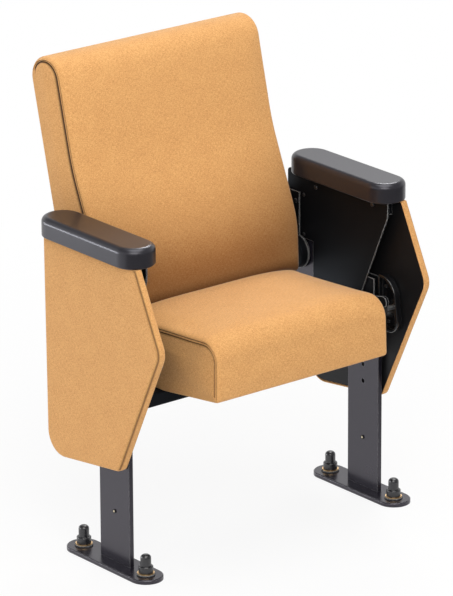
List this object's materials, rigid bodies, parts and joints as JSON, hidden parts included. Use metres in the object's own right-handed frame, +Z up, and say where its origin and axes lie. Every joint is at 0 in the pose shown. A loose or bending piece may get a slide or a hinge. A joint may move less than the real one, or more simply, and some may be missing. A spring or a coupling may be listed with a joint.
{
  "type": "tip up auditorium seat",
  "caption": "Floor-mounted auditorium seat with an upholstered tip-up seat, a leaning padded back, padded side panels, armrests and flat bar legs on foot plates.",
  "frame": {"origin": "on the floor, under the middle of the seat's whole width and depth", "axes": "+Z up, -Y towards the sitter's front, X across the seat; the seat is symmetric about the YZ plane"},
  "size_m": [0.6626, 0.4944, 0.8889],
  "materials": {
    "upholstery": "woven melange cloth over foam",
    "plywood": "plain",
    "black_board": "black lacquer",
    "frame_coat": "satin powder coat",
    "black_coat": "matte powder coat",
    "pad": "satin",
    "shell": "fine grain",
    "gloss_black": "polished",
    "steel": "plain zinc",
    "black_screw": "black oxide",
    "golden": "satin",
    "sleeve": "matte",
    "bearing": "plain"
  },
  "bodies": {
    "stand": {"anchor_caps": "gloss_black", "anchor_nuts": "steel", "anchor_seals": "golden", "anchor_studs": "steel", "anchor_washers": "black_coat", "arm_rail_left": "black_coat", "arm_rail_right": "black_coat", "armrest_left": "pad", "armrest_right": "pad", "armrest_screws": "black_screw", "back_board": "plywood", "back_bolts": "black_screw", "back_boss_left": "black_coat", "back_boss_right": "black_coat", "back_bracket_left": "black_coat", "back_bracket_right": "black_coat", "back_cushion": "upholstery", "back_post_left": "frame_coat", "back_post_right": "frame_coat", "back_rear_panel": "shell", "boss_screws": "black_screw", "bracket_screws": "black_screw", "foot_plate_left": "frame_coat", "foot_plate_right": "frame_coat", "hinge_channel_left": "black_coat", "hinge_channel_right": "black_coat", "housing_screws": "black_screw", "inner_plate_left": "black_coat", "inner_plate_right": "black_coat", "leg_left": "frame_coat", "leg_right": "frame_coat", "leg_rivets": "black_screw", "panel_board_left": "black_board", "panel_board_right": "black_board", "panel_cover_left": "upholstery", "panel_cover_right": "upholstery", "panel_screws": "steel", "panel_spacers": "black_coat", "pivot_shaft_left": "steel", "pivot_shaft_right": "steel", "pivot_spacers": "black_coat", "post_screws": "black_screw", "stop_buffer_left": "sleeve", "stop_buffer_right": "sleeve", "stop_housing_left": "gloss_black", "stop_housing_right": "gloss_black", "stop_peg_left": "steel", "stop_peg_right": "steel", "thrust_rings": "bearing"},
    "seat": {"seat_cushion": "upholstery", "seat_board": "plywood", "seat_underpan": "shell", "seat_beam": "black_coat", "seat_bolts": "steel", "seat_arm_left": "black_coat", "seat_arm_right": "black_coat", "seat_bush_left": "bearing", "seat_bush_right": "bearing", "return_spring_left": "steel", "return_spring_right": "steel"}
  },
  "joints": [
    {"name": "seat_tip", "type": "hinge", "parent": "stand", "child": "seat", "pos_m": [0, -0.0396, 0.368], "axis": [-1, 0, 0], "range_deg": [0, 80], "stiffness_Nm_per_rad": 0.9, "springref_deg": 100.27}
  ]
}
